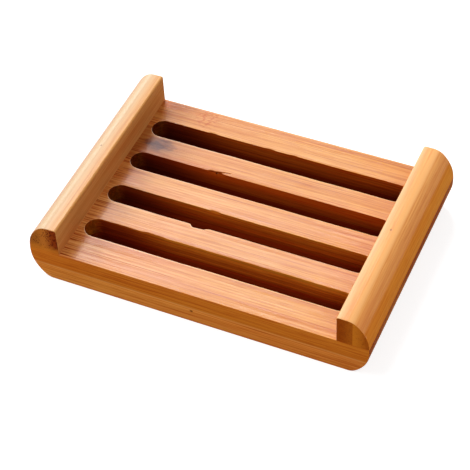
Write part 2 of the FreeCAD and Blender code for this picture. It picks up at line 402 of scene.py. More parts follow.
# %% Shape the rail blanks and saw the leaves from them
leaves = {}
for rail, side in (("right_rail", 1), ("left_rail", -1)):
    low_x, high_x = sorted((side * RAIL_INSIDE, side * HALF_LENGTH))
    blank = new_block("rail_blank", (low_x, -HALF_WIDTH, BASE_TOP), (high_x, HALF_WIDTH, RAIL_TOP))
    foot = Vector((HALF_LENGTH, 0, BASE_TOP))
    saw_off(blank, *bow_flats(foot, RAIL_TOP - BASE_TOP, END_DRAW_IN, CROWN_ROUND, side))
    ease_centre = Vector((RAIL_INSIDE + RAIL_EASE, 0, RAIL_TOP - RAIL_EASE))
    saw_off(blank, *flats(ease_centre, RAIL_EASE, math.pi / 2, math.pi, side))
    joint = Vector((side * RAIL_JOINT, 0, 0))
    for leaf, outwards in (("inner_leaf", 1), ("outer_leaf", -1)):
        node = f"{rail}_{leaf}"
        leaves[node] = copy_of(blank, f"{node}_bamboo")
        saw_off(leaves[node], (joint, (side * outwards, 0, 0)))
    bpy.data.objects.remove(blank)
print("Leaves:", ", ".join(leaves))

# %% [markdown]
# ## Eased edges
# Every edge that a hand can reach was sanded lightly after the glue had set. The glued edges were
# not, because they are flush. So an edge is eased only if it is a sharp one and neither of its two
# faces is glued to a neighbour. The top of the board is scored where the rails stand, so that the
# easing of its front edge stops there.

# %% Tell glued faces from free ones
TOUCH = 0.005 * MM
SQUARE_ON = 0.99
X_AXIS, Y_AXIS, Z_AXIS = range(3)


def glued_planes(node):
    """The planes on which a piece meets its neighbours: an axis and a place along it."""
    low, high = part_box(node)
    if "leaf" in node:
        return [(Z_AXIS, BASE_TOP), (X_AXIS, RAIL_JOINT), (X_AXIS, -RAIL_JOINT)]
    inner = [(Y_AXIS, y) for y in (low.y, high.y) if abs(y) < HALF_WIDTH - TOUCH]
    return [(Z_AXIS, LAYER_JOINT), *inner]


def is_glued(face, planes):
    """Whether a face lies on one of the glued planes, or on the board's top under a rail."""
    for axis, place in planes:
        if abs(face.normal[axis]) > SQUARE_ON and abs(face.center[axis] - place) < TOUCH:
            return True
    on_top = face.normal.z > SQUARE_ON and abs(face.center.z - BASE_TOP) < TOUCH
    return on_top and abs(face.center.x) > RAIL_INSIDE


# %% Ease the edges
STRIP_EASE = 0.22 * MM
LEAF_EASE = 0.4 * MM
EASE_STEPS = 2
EASE_WELD = 0.002 * MM
SHARP = math.radians(40)


def select_free_edges(piece, node):
    """Select in edit mode the sharp edges between two faces that are not glued, and count them."""
    bpy.ops.mesh.select_mode(type="EDGE")
    bpy.ops.mesh.select_all(action="DESELECT")
    bpy.ops.object.mode_set(mode="OBJECT")
    planes = glued_planes(node)
    free_faces = {}
    for face in piece.data.polygons:
        if not is_glued(face, planes):
            for key in face.edge_keys:
                free_faces.setdefault(key, []).append(face.normal.copy())
    count = 0
    for edge in piece.data.edges:
        normals = free_faces.get(edge.key, [])
        edge.select = len(normals) == 2 and normals[0].angle(normals[1]) > SHARP
        count += edge.select
    bpy.ops.object.mode_set(mode="EDIT")
    return count


def ease_edges(piece, node):
    """Round the sharp edges that show, then shade the piece smoothly between them."""
    edit_only(piece)
    if "strip" in node:
        for end in (RAIL_INSIDE, -RAIL_INSIDE):
            bpy.ops.mesh.select_all(action="SELECT")
            bpy.ops.mesh.bisect(plane_co=(end, 0, 0), plane_no=(1, 0, 0), threshold=SAW_TOUCH)
    eased = select_free_edges(piece, node)
    width = LEAF_EASE if "leaf" in node else STRIP_EASE
    bpy.ops.mesh.bevel(offset=width, segments=EASE_STEPS, affect="EDGES", clamp_overlap=False)
    bpy.ops.mesh.select_all(action="SELECT")
    bpy.ops.mesh.remove_doubles(threshold=EASE_WELD)
    bpy.ops.object.mode_set(mode="OBJECT")
    bpy.ops.object.shade_smooth_by_angle(angle=SHARP)
    modifier = piece.modifiers.new("flat_faces", "WEIGHTED_NORMAL")
    modifier.keep_sharp = True
    bpy.ops.object.modifier_apply(modifier=modifier.name)
    return eased


pieces = {**strips, **leaves}
for node, piece in pieces.items():
    eased = ease_edges(piece, node)
    print(f"{piece.name}: {eased} edges eased, {len(piece.data.polygons)} faces")

# %% [markdown]
# ## Bamboo
# Steamed bamboo is a warm honey brown. Seen from the side it is long straight fibres, light and dark,
# that run the whole length of a strip. Seen from the end it is pale with dark dots, the cut fibre
# bundles. A photograph of wood would tie the pattern to one view, so it is built from noise in the
# piece's own space instead. First come a few helpers that add a node and wire it up in one line.

# %% Helpers for values


def new_node(tree, kind, inputs=None, **settings):
    """Add a shader node, set its options, and fill or link its sockets."""
    node = tree.nodes.new(f"ShaderNode{kind}")
    for option, value in settings.items():
        setattr(node, option, value)
    for socket, value in (inputs or {}).items():
        if isinstance(value, bpy.types.NodeSocket):
            tree.links.new(value, node.inputs[socket])
        else:
            node.inputs[socket].default_value = value
    return node


def calculate(tree, operation, first, second=0.0):
    """One sum on two values."""
    return new_node(tree, "Math", {0: first, 1: second}, operation=operation).outputs[0]


def product(tree, first, *others):
    """Several values multiplied."""
    for other in others:
        first = calculate(tree, "MULTIPLY", first, other)
    return first


def magnitude(tree, value):
    """A value without its sign."""
    return calculate(tree, "ABSOLUTE", value)


def gap(tree, first, second):
    """How far apart two values are."""
    return magnitude(tree, calculate(tree, "SUBTRACT", first, second))


def ramp(tree, value, low, high, low_result=0.0, high_result=1.0):
    """A value between two limits, smoothed to run from one result to another."""
    inputs = {"Value": value, "From Min": low, "From Max": high,
              "To Min": low_result, "To Max": high_result}
    return new_node(tree, "MapRange", inputs, interpolation_type="SMOOTHSTEP").outputs[0]


# %% Helpers for colours and noise
# A Mix node has sockets for numbers, vectors and colours: these are the numbers of the colour ones.
FIRST_COLOUR, SECOND_COLOUR, MIXED_COLOUR = 6, 7, 2


def linear(red, green, blue):
    """A colour given in the usual 0 to 255, as light."""
    def light(level):
        level /= 255
        return level / 12.92 if level <= 0.04045 else ((level + 0.055) / 1.055) ** 2.4
    return (light(red), light(green), light(blue), 1)


def mix_colours(tree, share, first, second, blend_type="MIX"):
    """A share of a second colour mixed into a first, or laid over it in another way."""
    inputs = {"Factor": share, FIRST_COLOUR: first, SECOND_COLOUR: second}
    mix = new_node(tree, "Mix", inputs, data_type="RGBA", blend_type=blend_type)
    return mix.outputs[MIXED_COLOUR]


def darken(tree, share, colour, shade):
    """A colour multiplied by a shade."""
    return mix_colours(tree, share, colour, shade, "MULTIPLY")


def stretched_noise(tree, place, along, across, detail, roughness):
    """Noise stretched along the grain, with its two scales given per millimetre."""
    mapping = new_node(tree, "Mapping", {"Vector": place, "Scale": (along, across, across)})
    inputs = {"Vector": mapping.outputs[0], "Scale": 1.0, "Detail": detail, "Roughness": roughness}
    return new_node(tree, "TexNoise", inputs).outputs["Fac"]


# %% [markdown]
# ## Fibres
# Noise that is stretched a hundred times along the grain turns into fibres. Five kinds lie over one
# another: broad bands of light and dark, slow tints, the threads in them, short dashes, and thin
# veins, drawn along the level lines of a noise. Each has a stretch, with its scales along and across
# the grain, and two levels, between which the noise is sharpened. Every piece gets its own number,
# which moves it to another part of the noise.

# %% Start a bamboo material
Wood = namedtuple("Wood", "tree grain point place spot facing upright on_top")
Stretch = namedtuple("Stretch", "along across detail roughness", defaults=[0.5])
PIECE_OFFSET = (37.0, 13.0, 7.0)
UPRIGHT_LEVELS = (0.4, 0.7)


def start_wood(name, grain, number):
    """An empty material, with the places and directions that its patterns are drawn from."""
    material = bpy.data.materials.new(name)
    material.use_nodes = True
    tree = material.node_tree
    tree.nodes.clear()
    coordinates = new_node(tree, "TexCoord").outputs
    place = new_node(tree, "Mapping", {
        "Vector": coordinates["Object"],
        "Location": [offset * number for offset in PIECE_OFFSET],
        "Rotation": (0, 0, 0 if grain == "X" else -math.pi / 2),
        "Scale": (1 / MM, 1 / MM, 1 / MM),
    }).outputs[0]
    spot = new_node(tree, "SeparateXYZ", {0: coordinates["Object"]}).outputs
    facing = new_node(tree, "SeparateXYZ", {0: coordinates["Normal"]}).outputs
    upright = ramp(tree, magnitude(tree, facing["Z"]), *UPRIGHT_LEVELS, 1.0, 0.0)
    on_top = calculate(tree, "SUBTRACT", 1.0, upright)
    return material, Wood(tree, grain, coordinates["Object"], place, spot, facing, upright, on_top)


def pattern(wood, stretch, levels, low_result=0.0, high_result=1.0):
    """A stretched noise, sharpened between two levels."""
    field = stretched_noise(wood.tree, wood.place, *stretch)
    return ramp(wood.tree, field, *levels, low_result, high_result)


# %% Draw the fibres
Tone = namedtuple("Tone", "light dark side end_pale end_dark dots")
UPPER_TONE = Tone(light=linear(213, 151, 85), dark=linear(205, 138, 72), side=linear(255, 212, 126),
                  end_pale=linear(206, 126, 48), end_dark=linear(150, 62, 18), dots=0.5)
LOWER_TONE = Tone(light=linear(240, 160, 76), dark=linear(230, 146, 62), side=linear(255, 255, 245),
                  end_pale=linear(206, 126, 48), end_dark=linear(150, 62, 18), dots=0.5)
LEFT_RAIL_TONE = Tone(light=linear(208, 153, 90), dark=linear(200, 140, 76), side=linear(255, 246, 240),
                      end_pale=linear(202, 120, 44), end_dark=linear(136, 48, 12), dots=0.8)
RIGHT_RAIL_TONE = Tone(light=linear(234, 168, 97), dark=linear(229, 153, 81), side=linear(255, 238, 170),
                       end_pale=linear(204, 117, 30), end_dark=linear(154, 66, 10), dots=0.2)
Share = namedtuple("Share", "threads dashes veins")
STRIP_SHARE = Share(threads=0.65, dashes=0.6, veins=0.55)
LEAF_SHARE = Share(threads=0.3, dashes=0.35, veins=0.25)
BANDS, BAND_LEVELS = Stretch(0.004, 0.30, 2), (0.35, 0.65)
TINTS, TINT_LEVELS = Stretch(0.02, 0.16, 1), (0.42, 0.60)
THREADS, THREAD_LEVELS = Stretch(0.006, 1.8, 2, 0.6), (0.47, 0.58)
DASHES, DASH_LEVELS = Stretch(0.09, 2.6, 2, 0.6), (0.50, 0.62)
VEINS, VEIN_LEVEL, VEIN_WIDTH = Stretch(0.006, 1.4, 1), 0.5, 0.05
VEIN_PATCHES, VEIN_PATCH_LEVELS = Stretch(0.02, 0.4, 1), (0.40, 0.56)
TINT_SHADE = linear(252, 242, 236)
THREAD_SHADE = linear(232, 194, 164)
DASH_SHADE = linear(230, 194, 166)
VEIN_SHADE = linear(206, 144, 104)


def fibres(wood, tone):
    """The colour of the long grain, and its threads, which also shape the surface."""
    tree = wood.tree
    share = STRIP_SHARE if wood.grain == "X" else LEAF_SHARE
    threads = pattern(wood, THREADS, THREAD_LEVELS)
    dashes = pattern(wood, DASHES, DASH_LEVELS)
    from_line = gap(tree, stretched_noise(tree, wood.place, *VEINS), VEIN_LEVEL)
    veins = ramp(tree, from_line, 0.0, VEIN_WIDTH, 1.0, 0.0)
    veins = product(tree, veins, pattern(wood, VEIN_PATCHES, VEIN_PATCH_LEVELS))
    colour = mix_colours(tree, pattern(wood, BANDS, BAND_LEVELS), tone.light, tone.dark)
    colour = darken(tree, pattern(wood, TINTS, TINT_LEVELS), colour, TINT_SHADE)
    colour = darken(tree, product(tree, threads, share.threads), colour, THREAD_SHADE)
    colour = darken(tree, product(tree, dashes, share.dashes), colour, DASH_SHADE)
    return darken(tree, product(tree, veins, share.veins), colour, VEIN_SHADE), threads


# %% [markdown]
# ## End grain
# The wall of a bamboo cane is hard and dark at the skin, where the fibre bundles crowd, and pale at
# the inside. Each piece was glued with its skin to the outside, because that side wears best: up or
# down in the board, and away from the joint in the rails. So the ends are darkest at the outside and
# lightest at the joint. The dots are the cells of a Voronoi pattern, and they grow towards the skin.

# %% Draw the end grain
END_LEVELS = (0.6, 0.85)
END_DOT = linear(84, 22, 6)
DOTS_PER_MM = 1.5
DOT_STRETCH = (0.01, 1.0, 1.0)
DOT_CROWDING = 0.2
DOT_EDGE = (0.14, 0.36)


def end_grain(wood, colour, tone, skin):
    """The cut fibre bundles, on faces that look along the grain."""
    tree = wood.tree
    is_end = ramp(tree, magnitude(tree, wood.facing[wood.grain]), *END_LEVELS)
    cells = new_node(tree, "Mapping", {"Vector": wood.place, "Scale": DOT_STRETCH}).outputs[0]
    dots = new_node(tree, "TexVoronoi", {"Vector": cells, "Scale": DOTS_PER_MM}).outputs["Distance"]
    crowding = calculate(tree, "SUBTRACT", dots, product(tree, skin, DOT_CROWDING))
    dot_share = ramp(tree, crowding, *DOT_EDGE, tone.dots, 0.0)
    end_colour = mix_colours(tree, skin, tone.end_pale, tone.end_dark)
    end_colour = mix_colours(tree, dot_share, end_colour, END_DOT)
    return mix_colours(tree, is_end, colour, end_colour)


# %% Find the skin of the cane
LeafSkin = namedtuple("LeafSkin", "inside inner_joint outer_joint outside")
LEFT_SKIN = LeafSkin(inside=0.95, inner_joint=0.2, outer_joint=0.2, outside=0.35)
RIGHT_SKIN = LeafSkin(inside=0.95, inner_joint=0.6, outer_joint=0.0, outside=0.7)
INNER_LEAF_RANGE = (RAIL_INSIDE + 2.0 * MM, RAIL_JOINT + 0.8 * MM)
OUTER_LEAF_RANGE = (RAIL_JOINT + 1.5 * MM, HALF_LENGTH + 0.5 * MM)
STRIP_SKIN = 0.5
SKIN_LIFT = 1.0 * MM
WAVER, WAVER_REACH = Stretch(0.01, 0.6, 2), 2.0 * MM
STRIP_OWN, STRIP_OWN_LEVELS, STRIP_OWN_SKIN = Stretch(0.0, 0.02, 0), (0.35, 0.65), 0.45


def skin_of(wood, node):
    """How near the skin of the cane each spot is, with a wavering boundary."""
    tree = wood.tree
    waver = product(tree, stretched_noise(tree, wood.place, *WAVER), WAVER_REACH)
    if "strip" in node:
        height = calculate(tree, "ADD", wood.spot["Z"], waver)
        if node in UPPER_STRIPS:
            skin = ramp(tree, height, LAYER_JOINT + SKIN_LIFT, BASE_TOP + SKIN_LIFT, 0.0, STRIP_SKIN)
        else:
            skin = ramp(tree, height, SKIN_LIFT, LAYER_JOINT + SKIN_LIFT, STRIP_SKIN, 0.0)
        own = pattern(wood, STRIP_OWN, STRIP_OWN_LEVELS, 0.0, STRIP_OWN_SKIN)
        return calculate(tree, "ADD", skin, own)
    leaf = RIGHT_SKIN if "right" in node else LEFT_SKIN
    across = calculate(tree, "ADD", magnitude(tree, wood.spot["X"]), waver)
    if "inner" in node:
        return ramp(tree, across, *INNER_LEAF_RANGE, leaf.inside, leaf.inner_joint)
    return ramp(tree, across, *OUTER_LEAF_RANGE, leaf.outer_joint, leaf.outside)


# %% [markdown]
# ## Painted shade in the slots
# The walls of the slots are darkened in their colour. At the left end of each slot they have the painted
# shadow of the left rail, almost black, which fades along the slot. The lower half of the walls has
# painted shade, as deep in a slot, and the top of the walls in the front slots has painted light,
# golden.
# The walls darken from slot to slot, so the front slot is the lightest and the back one is the darkest
# and reddest. The round left ends are a little lighter.

# %% Find the walls and the painted light on them
WALL_SIDES = (HALF_WIDTH - 0.5 * MM, HALF_WIDTH - 0.3 * MM)
WALL_ENDS = (RAIL_INSIDE, RAIL_INSIDE + 0.2 * MM)
# Painted shadow of the left rail, from the left end of each slot along this length
RAIL_SHADOW_RANGE = (SLOT_LEFT, SLOT_LEFT + 32 * MM)
# Painted light high up on the walls, weaker low down
TOP_LIGHT_RANGE = (BASE_TOP - 4.5 * MM, BASE_TOP)
DEEP_LIGHT = 0.3
RAIL_SHADOW_GOLD = 0.25
FRONT_END_GOLD, BACK_END_GOLD = 0.75, 0.4
END_GOLD_LENGTH = 2.5 * MM


def slot_walls(wood):
    """One on the walls of the slots, and nought elsewhere."""
    tree = wood.tree
    in_width = ramp(tree, magnitude(tree, wood.spot["Y"]), *WALL_SIDES, 1.0, 0.0)
    in_length = ramp(tree, magnitude(tree, wood.spot["X"]), *WALL_ENDS, 1.0, 0.0)
    return product(tree, in_width, in_length, wood.upright)


def wall_light_share(wood):
    """Painted light on the walls: high in the front slots, less in the rail's shadow, and at the left
    ends.
    """
    tree, spot = wood.tree, wood.spot
    front = ramp(tree, spot["Y"], SLOT_LINES[FRONT_SLOT] + SLOT_WIDTH, SLOT_LINES[THIRD_SLOT], 1.0, 0.0)
    high = ramp(tree, spot["Z"], *TOP_LIGHT_RANGE, DEEP_LIGHT, 1.0)
    out_of_shadow = ramp(tree, spot["X"], *RAIL_SHADOW_RANGE, RAIL_SHADOW_GOLD, 1.0)
    end_share = ramp(tree, spot["Y"], SLOT_LINES[FRONT_SLOT], SLOT_LINES[BACK_SLOT],
                     FRONT_END_GOLD, BACK_END_GOLD)
    end = ramp(tree, spot["X"], SLOT_LEFT, SLOT_LEFT + END_GOLD_LENGTH, end_share, 0.0)
    return calculate(tree, "MAXIMUM", product(tree, front, high, out_of_shadow), end)


# %% Paint the shade on the walls
WallShade = namedtuple("WallShade", "front back")
# Wall colours with painted shade: the front one lighter and golden, the back one darker
UPPER_WALL_SHADE = WallShade(front=linear(255, 238, 140), back=linear(243, 167, 92))
LOWER_WALL_SHADE = WallShade(front=linear(214, 148, 94), back=linear(190, 106, 66))
# Painted shadow of the left rail at the slots' left ends, and painted shade low on the walls
FRONT_RAIL_SHADOW, BACK_RAIL_SHADOW = 0.56, 0.36
RAIL_SHADOW_TINT = linear(255, 206, 220)
SHADOW_TINT_START, SHADOW_TINT_PEAK = SLOT_LEFT + 1.0 * MM, SLOT_LEFT + 4.0 * MM
BACK_DARKENING = 0.66
DEEP_SHADE = 0.6
DEEP_RANGE = (LAYER_JOINT - 2 * MM, BASE_TOP)
END_RELIEF, END_RELIEF_LENGTH = 1.3, 1.2 * MM
WALL_STREAKS, WALL_STREAK_LEVELS = Stretch(0.008, 1.1, 2), (0.40, 0.62)
WALL_STREAK_RANGE = (0.82, 1.15)


def wall_shade_level(wood):
    """How dark the walls are: painted shadow of the left rail, painted shade low down, darker to the
    back.
    """
    tree, spot = wood.tree, wood.spot
    start = ramp(tree, spot["Y"], SLOT_LINES[FRONT_SLOT] + SLOT_WIDTH / 2, SLOT_LINES[SECOND_SLOT],
                 FRONT_RAIL_SHADOW, BACK_RAIL_SHADOW)
    rail_shadow = ramp(tree, spot["X"], *RAIL_SHADOW_RANGE, start, 1.0)
    deep = ramp(tree, spot["Z"], *DEEP_RANGE, DEEP_SHADE, 1.0)
    towards_back = ramp(tree, spot["Y"], SLOT_LINES[FRONT_SLOT], SLOT_LINES[BACK_SLOT] + SLOT_WIDTH,
                1.0, BACK_DARKENING)
    streaks = pattern(wood, WALL_STREAKS, WALL_STREAK_LEVELS, *WALL_STREAK_RANGE)
    relief = ramp(tree, spot["X"], SLOT_LEFT, SLOT_LEFT + END_RELIEF_LENGTH, END_RELIEF, 1.0)
    return product(tree, rail_shadow, deep, towards_back, streaks, relief)


def paint_wall_shade(wood, colour, walls, wall_shade):
    """The colour with painted shade and light on the slots' walls."""
    tree, spot = wood.tree, wood.spot
    shade = mix_colours(tree, wall_light_share(wood), wall_shade.back, wall_shade.front)
    shaded_wall = darken(tree, 1.0, darken(tree, 1.0, colour, shade), wall_shade_level(wood))
    past_end = ramp(tree, spot["X"], SHADOW_TINT_START, SHADOW_TINT_PEAK)
    shadow_tint = ramp(tree, spot["X"], SHADOW_TINT_PEAK, RAIL_SHADOW_RANGE[1], 1.0, 0.0)
    shaded_wall = darken(tree, product(tree, past_end, shadow_tint), shaded_wall, RAIL_SHADOW_TINT)
    return mix_colours(tree, walls, colour, shaded_wall)


# %% [markdown]
# ## Marks in the wood
# No two strips are alike. The back strip has a knuckle, where the cane had a joint and the fibres
# swerve. The one before it is stained beside the left rail, in a mottled patch with a tail. Here and
# there is a dark fleck. Each mark has a centre, and it is drawn by how far a spot is from there.

# %% Draw the stain
STAINS = {"upper_strip_4": Vector((-37.6, 17.0, 12.0)) * MM}
STAIN_SHADE = linear(126, 78, 98)
STAIN_LENGTH = 1.7
STAIN_EDGE = (2.4 * MM, 6.8 * MM)
BLOTCHES, BLOTCH_REACH = Stretch(0.35, 0.7, 2), 3.0 * MM
MOTTLE, MOTTLE_LEVELS, MOTTLE_RANGE = Stretch(0.3, 0.5, 1), (0.40, 0.60), (0.75, 1.1)
STAIN_TAIL, TAIL_SHARE = (-36.0 * MM, -18.0 * MM), 0.3


def away_from(wood, centre, length=1.0):
    """How far each spot is from a mark that is so many times as long along the grain as across."""
    tree = wood.tree
    away = new_node(tree, "VectorMath", {0: wood.point, 1: centre}, operation="SUBTRACT").outputs[0]
    squeeze = (1 / length, 1, 1) if wood.grain == "X" else (1, 1 / length, 1)
    away = new_node(tree, "VectorMath", {0: away, 1: squeeze}, operation="MULTIPLY").outputs[0]
    return new_node(tree, "VectorMath", {0: away}, operation="LENGTH").outputs["Value"]


def draw_stain(wood, colour, centre):
    """The colour with a stain on the top."""
    tree = wood.tree
    blotches = product(tree, stretched_noise(tree, wood.place, *BLOTCHES), BLOTCH_REACH)
    reach = calculate(tree, "ADD", away_from(wood, centre, STAIN_LENGTH), blotches)
    patch = ramp(tree, reach, *STAIN_EDGE, 1.0, 0.0)
    patch = product(tree, patch, pattern(wood, MOTTLE, MOTTLE_LEVELS, *MOTTLE_RANGE))
    tail = ramp(tree, wood.spot["X"], *STAIN_TAIL, TAIL_SHARE, 0.0)
    stain = product(tree, calculate(tree, "MAXIMUM", patch, tail), wood.on_top)
    return darken(tree, stain, colour, STAIN_SHADE)


# %% Draw the knuckle and the flecks
KNUCKLES = {"upper_strip_5": Vector((-27.5, 34.0, 12.0)) * MM}
KNUCKLE_SHADE = linear(240, 204, 186)
KNUCKLE_EDGE = (2.0 * MM, 6.0 * MM)
KNUCKLE_WAVES = 2.4 / MM
KNUCKLE_LEVELS = (0.0, 0.9)
SWERVE, SWERVE_REACH = Stretch(0.12, 0.6, 2), 26.0
Fleck = namedtuple("Fleck", "centre length strength")
FLECKS = {
    "right_rail_inner_leaf": Fleck(Vector((47.5, 0.0, 22.0)) * MM, length=1.3, strength=0.65),
    "left_rail_inner_leaf": Fleck(Vector((-49.1, 1.1, 22.0)) * MM, length=1.3, strength=0.65),
    "lower_strip_1": Fleck(Vector((-1.2, -37.5, 4.8)) * MM, length=1.5, strength=1.0),
}
FLECK_SHADE = linear(92, 40, 8)
FLECK_EDGE = (0.12 * MM, 0.5 * MM)


def draw_knuckle(wood, colour, centre):
    """The colour with the swerving lines of a knuckle."""
    tree = wood.tree
    swerve = product(tree, stretched_noise(tree, wood.place, *SWERVE), SWERVE_REACH)
    phase = calculate(tree, "ADD", product(tree, wood.spot["X"], KNUCKLE_WAVES), swerve)
    lines = ramp(tree, calculate(tree, "SINE", phase), *KNUCKLE_LEVELS)
    near = ramp(tree, away_from(wood, centre), *KNUCKLE_EDGE, 1.0, 0.0)
    return darken(tree, product(tree, lines, near), colour, KNUCKLE_SHADE)


def draw_fleck(wood, colour, fleck):
    """The colour with one dark fleck."""
    away = away_from(wood, fleck.centre, fleck.length)
    share = ramp(wood.tree, away, *FLECK_EDGE, fleck.strength, 0.0)
    return mix_colours(wood.tree, share, colour, FLECK_SHADE)


# %% [markdown]
# ## The tops of the bars
# Beside the left rail the tops of the bars have painted shade, for the rail's shadow: lighter at the
# front and browner at the back, with dark lines of fibre, and a fainter band of painted shade runs out
# along the grain. To the right the bars turn a little warmer, so the left keeps a painted sheen. The
# edge at the back of each bar has a painted highlight. And a thin line of glue shows between the two
# layers, along the front and the back of the board.

# %% Paint the shade in the corner at the left rail
# Painted shade for the shadow of the left rail: lighter at the front, browner at the back
FRONT_CORNER_PAINTED_SHADE = (1.15, 1.15, 1.15, 1)
BACK_CORNER_PAINTED_SHADE = linear(238, 222, 200)
CORNER_RANGE = (-RAIL_INSIDE - 7.0 * MM, -RAIL_INSIDE + 7.0 * MM)
CORNER_STREAKS, CORNER_REACH = Stretch(0.03, 1.2, 2), -14.0 * MM
# Dark fibre lines that show in the painted shade
CORNER_LINES, CORNER_LINE_LEVELS = Stretch(0.05, 2.2, 2, 0.6), (0.52, 0.66)
CORNER_LINE_SHADE = linear(186, 132, 98)
# A fainter band of painted shade past the corner, where the rail's shadow thins out
FRINGE_PAINTED_SHADE = linear(228, 224, 218)
FRINGE_START = (-RAIL_INSIDE + 1.5 * MM, -RAIL_INSIDE + 4.5 * MM)
FRINGE_STOP = (-RAIL_INSIDE - 2.0 * MM, -RAIL_INSIDE + 9.0 * MM)


def paint_corner_shade(wood, colour):
    """The colour of a bar's top, with painted shade beside the left rail, for the rail's shadow."""
    tree, spot, on_top = wood.tree, wood.spot, wood.on_top
    streaks = product(tree, stretched_noise(tree, wood.place, *CORNER_STREAKS), CORNER_REACH)
    reach = calculate(tree, "ADD", spot["X"], streaks)
    corner = product(tree, ramp(tree, reach, *CORNER_RANGE, 1.0, 0.0), on_top)
    to_back = ramp(tree, spot["Y"], -HALF_WIDTH, SLOT_LINES[BACK_SLOT])
    colour = darken(tree, corner, colour, mix_colours(tree, to_back, FRONT_CORNER_PAINTED_SHADE, BACK_CORNER_PAINTED_SHADE))
    lines = product(tree, corner, pattern(wood, CORNER_LINES, CORNER_LINE_LEVELS))
    colour = darken(tree, lines, colour, CORNER_LINE_SHADE)
    past_corner = ramp(tree, spot["X"], *FRINGE_START)
    before_sheen = ramp(tree, reach, *FRINGE_STOP, 1.0, 0.0)
    return darken(tree, product(tree, past_corner, before_sheen, on_top), colour, FRINGE_PAINTED_SHADE)


# %% Paint the edge highlight and the sheen, and draw the glue line
# Painted highlight along the back edge of each bar
EDGE_HIGHLIGHT = linear(255, 218, 178)
EDGE_HIGHLIGHT_LEVELS = (0.03, 0.2)
EDGE_HIGHLIGHT_WIDTH, EDGE_HIGHLIGHT_SHARE = 0.7 * MM, 0.22
# Painted sheen: the tops turn warmer towards the right, so the left stays paler
SHEEN_FALLOFF_RANGE = (-24.0 * MM, 14.0 * MM)
SHEEN_FALLOFF_SHADE = linear(254, 252, 212)
SHEEN_FALLOFF_STRIPS = {"upper_strip_2": linear(248, 240, 210), "upper_strip_3": linear(249, 239, 200)}
GLUE_LINE = linear(232, 160, 84)
GLUE_EDGE, GLUE_SHARE = (0.1 * MM, 0.5 * MM), 0.5
OUTER_SIDE = (HALF_WIDTH - 0.4 * MM, HALF_WIDTH - 0.2 * MM)


def paint_edge_highlight(wood, colour, node):
    """The colour of a bar's top, with a painted highlight along its edge at the back."""
    tree, spot = wood.tree, wood.spot
    highlight = ramp(tree, wood.facing["Y"], *EDGE_HIGHLIGHT_LEVELS)
    if node in UPPER_STRIPS[:-1]:
        edge = SLOT_LINES[UPPER_STRIPS.index(node)] - SLOT_WIDTH / 2
        rim = ramp(tree, spot["Y"], edge - EDGE_HIGHLIGHT_WIDTH, edge, 0.0, EDGE_HIGHLIGHT_SHARE)
        along = ramp(tree, spot["X"], SLOT_LEFT, SLOT_LEFT + SLOT_WIDTH / 2)
        highlight = calculate(tree, "MAXIMUM", highlight, product(tree, rim, along))
    return mix_colours(tree, product(tree, highlight, wood.on_top), colour, EDGE_HIGHLIGHT)


def paint_sheen_falloff(wood, colour, node):
    """The colour of a bar's top, warmer to the right, so the paler left keeps a painted sheen."""
    falloff = product(wood.tree, ramp(wood.tree, wood.spot["X"], *SHEEN_FALLOFF_RANGE), wood.on_top)
    return darken(wood.tree, falloff, colour, SHEEN_FALLOFF_STRIPS.get(node, SHEEN_FALLOFF_SHADE))


def draw_glue_line(wood, colour):
    """The colour with the glue between the layers, on the front and the back of the board."""
    tree = wood.tree
    on_side = ramp(tree, magnitude(tree, wood.spot["Y"]), *OUTER_SIDE)
    at_joint = ramp(tree, gap(tree, wood.spot["Z"], LAYER_JOINT), *GLUE_EDGE, GLUE_SHARE, 0.0)
    return mix_colours(tree, product(tree, on_side, at_joint), colour, GLUE_LINE)


# %% [markdown]
# ## The crowns of the rails
# The left rail has a painted highlight that rises from its inside to the joint and fades at the rim,
# where it has painted shade, and its ends are golden where they meet the board. The right rail has a
# painted highlight at its brow, the edge over the bars, and is warm along the crest.

# %% Draw the crowns with their painted highlights and shade
# Painted highlight on the left rail, rising from its inside to the joint
CROWN_HIGHLIGHT = linear(205, 176, 141)
RISE_RANGE = (RAIL_INSIDE + RAIL_EASE, RAIL_JOINT)
RIM_RANGE = (RAIL_JOINT, RAIL_JOINT + 2.5 * MM)
RIM_HIGHLIGHT_SHARE = 0.2
# Painted shade at the rim of the left rail
RIM_PAINTED_SHADE = linear(232, 232, 224)
SEAM_GOLD = linear(206, 118, 34)
SEAM_RANGE, SEAM_SHARE = (BASE_TOP + 0.5 * MM, BASE_TOP + 3.2 * MM), 0.8
# Painted highlight along the brow of the right rail
BROW_HIGHLIGHT = linear(224, 178, 126)
BROW_RANGE = (RAIL_INSIDE, RAIL_INSIDE + 2.5 * MM)
WARM_CREST = linear(236, 174, 110)
CREST_WIDTH, CREST_SHARE = 1.3 * MM, 0.9


def draw_left_crown(wood, colour):
    """The colour of the left rail with a painted highlight on its crown, painted shade at its rim, and
    its golden seams.
    """
    tree = wood.tree
    from_middle = magnitude(tree, wood.spot["X"])
    rising = ramp(tree, from_middle, *RISE_RANGE)
    falling = ramp(tree, from_middle, *RIM_RANGE, 1.0, RIM_HIGHLIGHT_SHARE)
    colour = mix_colours(tree, product(tree, rising, falling, wood.on_top), colour, CROWN_HIGHLIGHT)
    colour = darken(tree, ramp(tree, from_middle, *RIM_RANGE), colour, RIM_PAINTED_SHADE)
    at_seam = ramp(tree, wood.spot["Z"], *SEAM_RANGE, SEAM_SHARE, 0.0)
    at_end = ramp(tree, magnitude(tree, wood.facing["Y"]), *END_LEVELS)
    return mix_colours(tree, product(tree, at_seam, at_end), colour, SEAM_GOLD)


